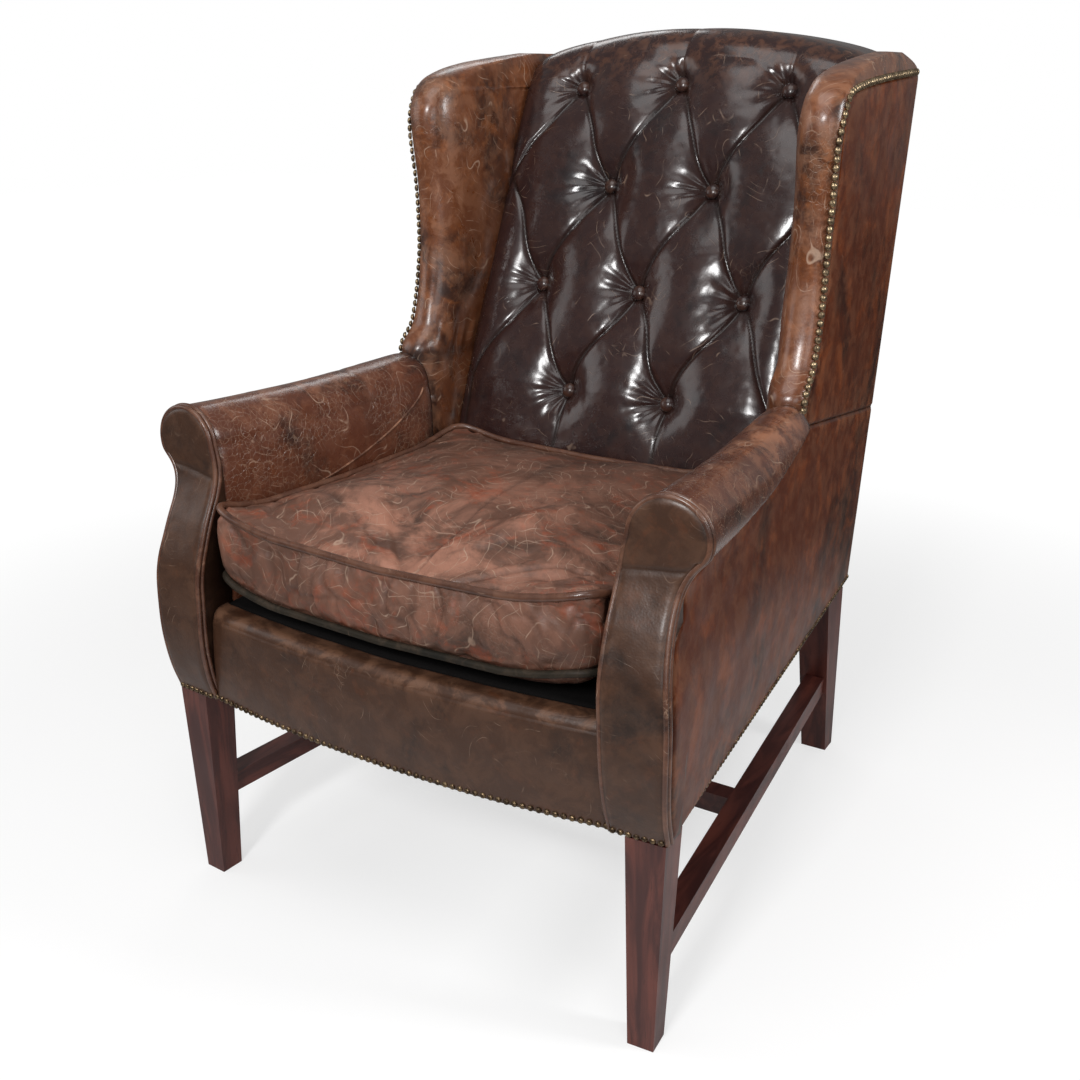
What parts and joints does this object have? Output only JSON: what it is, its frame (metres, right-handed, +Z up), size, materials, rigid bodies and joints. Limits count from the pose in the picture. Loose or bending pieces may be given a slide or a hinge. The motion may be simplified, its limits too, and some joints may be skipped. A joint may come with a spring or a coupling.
{
  "type": "wingback chair",
  "caption": "High-backed wing chair in worn brown leather with a deep-buttoned back, scroll arms, a loose boxed seat cushion and square tapered legs joined by stretchers.",
  "frame": {"origin": "on the floor, at the middle of the chair's width and depth", "axes": "+Z up, +X across towards the chair's own left arm (the viewer's right from the front), -Y out of the seat's front"},
  "size_m": [0.744, 0.915, 1.095],
  "materials": {
    "leather_dark": "dark, glossy worn leather of the inside back",
    "leather_brown": "worn, cracked brown leather of the arms and the cushion",
    "leather_chestnut": "smooth reddish brown leather of the sides, the wings and the back",
    "leather_grey": "greyish brown leather of the front rail and the arm fronts",
    "mahogany": "stained and polished",
    "beech": "sawn, unfinished",
    "jute": "woven webbing",
    "black_cloth": "matte woven cloth",
    "brass": "aged",
    "steel": "drawn wire"
  },
  "bodies": {
    "frame": {"front_leg_left": "mahogany", "front_leg_right": "mahogany", "back_leg_left": "mahogany", "back_leg_right": "mahogany", "side_stretcher_left": "mahogany", "side_stretcher_right": "mahogany", "cross_stretcher": "mahogany", "front_seat_rail": "beech", "back_seat_rail": "beech", "inner_back_rail": "beech", "side_seat_rail_left": "beech", "side_seat_rail_right": "beech", "corner_blocks": "beech", "back_post_left": "beech", "back_post_right": "beech", "back_stile_left": "beech", "back_stile_right": "beech", "crest_rail": "beech", "wing_post_left": "beech", "wing_post_right": "beech", "wing_rail_left": "beech", "wing_rail_right": "beech", "arm_rail_left": "beech", "arm_rail_right": "beech", "arm_stump_left": "beech", "arm_stump_right": "beech", "back_webbing": "jute", "seat_springs": "steel", "seat_deck": "black_cloth", "dust_cover": "black_cloth", "front_rail_cover": "leather_grey", "arm_pad_left": "leather_brown", "arm_pad_right": "leather_brown", "arm_front_left": "leather_grey", "arm_front_right": "leather_grey", "outside_arm_left": "leather_chestnut", "outside_arm_right": "leather_chestnut", "wing_pad_left": "leather_chestnut", "wing_pad_right": "leather_chestnut", "outside_wing_left": "leather_chestnut", "outside_wing_right": "leather_chestnut", "wing_nails_left": "brass", "wing_nails_right": "brass", "inside_back": "leather_dark", "back_buttons": "leather_dark", "outside_back": "leather_chestnut"},
    "cushion": {"seat_cushion": "leather_brown", "cushion_welt_top": "leather_brown", "cushion_welt_bottom": "leather_brown"}
  },
  "joints": [
    {"name": "cushion_lift", "type": "slide", "parent": "frame", "child": "cushion", "axis": [0, 0, 1], "range_m": [0, 0.25]}
  ]
}
